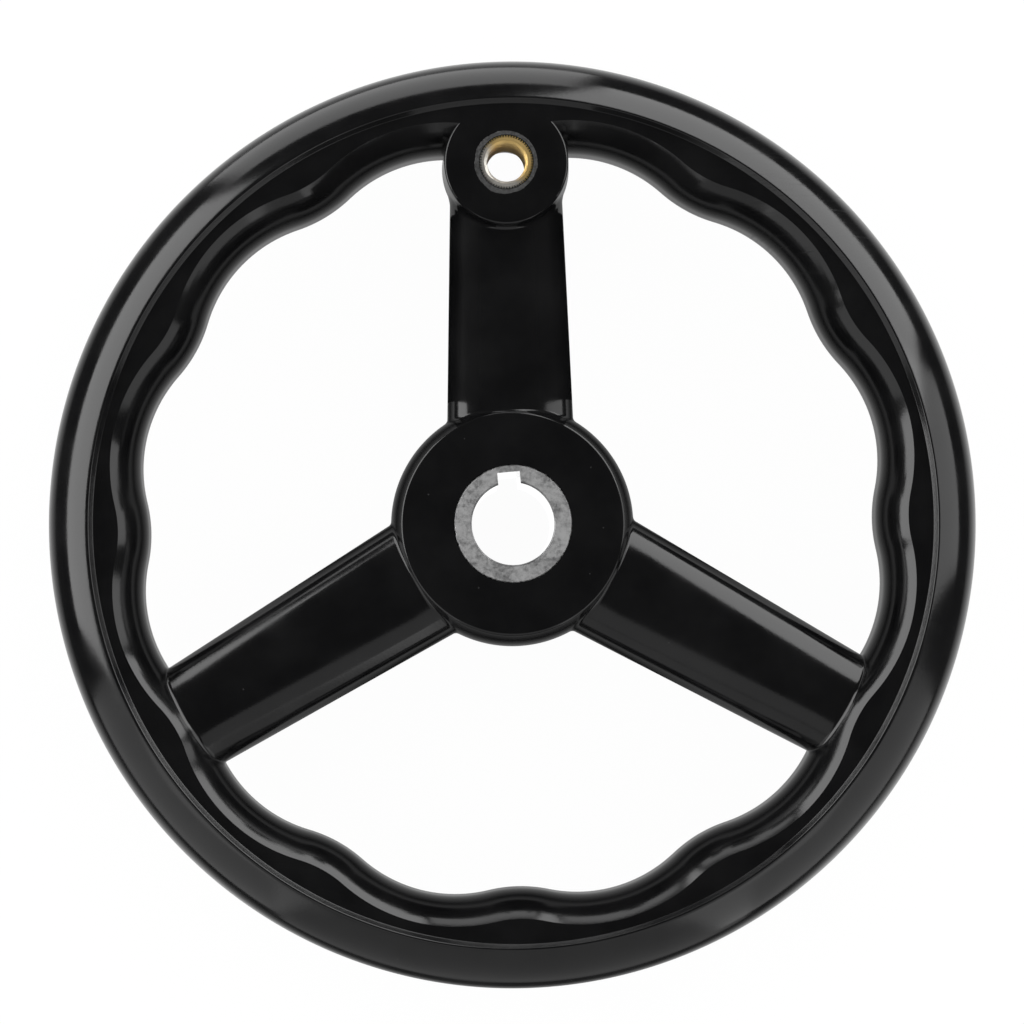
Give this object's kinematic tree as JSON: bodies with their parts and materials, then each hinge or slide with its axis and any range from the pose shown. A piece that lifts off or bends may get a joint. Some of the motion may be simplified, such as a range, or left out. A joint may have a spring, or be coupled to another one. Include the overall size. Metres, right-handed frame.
{
  "type": "machine handwheel",
  "caption": "Round moulded handwheel with waved finger grip on the rim, straight spokes, a keyed steel hub bush and a threaded brass insert for a handle.",
  "frame": {"origin": "centre of the shaft bore on the hub's back face, which is also the centre of the bounding box's bottom", "axes": "+Z along the bore axis, out of the front of the wheel; +Y from the axis to the handle boss"},
  "size_m": [0.25, 0.25, 0.0439],
  "materials": {
    "body": "polished black phenolic",
    "bush": "turned, slightly oxidised",
    "insert": "knurled, slightly tarnished"
  },
  "bodies": {
    "root": {"wheel_body": "body", "hub_bush": "bush", "handle_insert": "insert"}
  },
  "joints": []
}
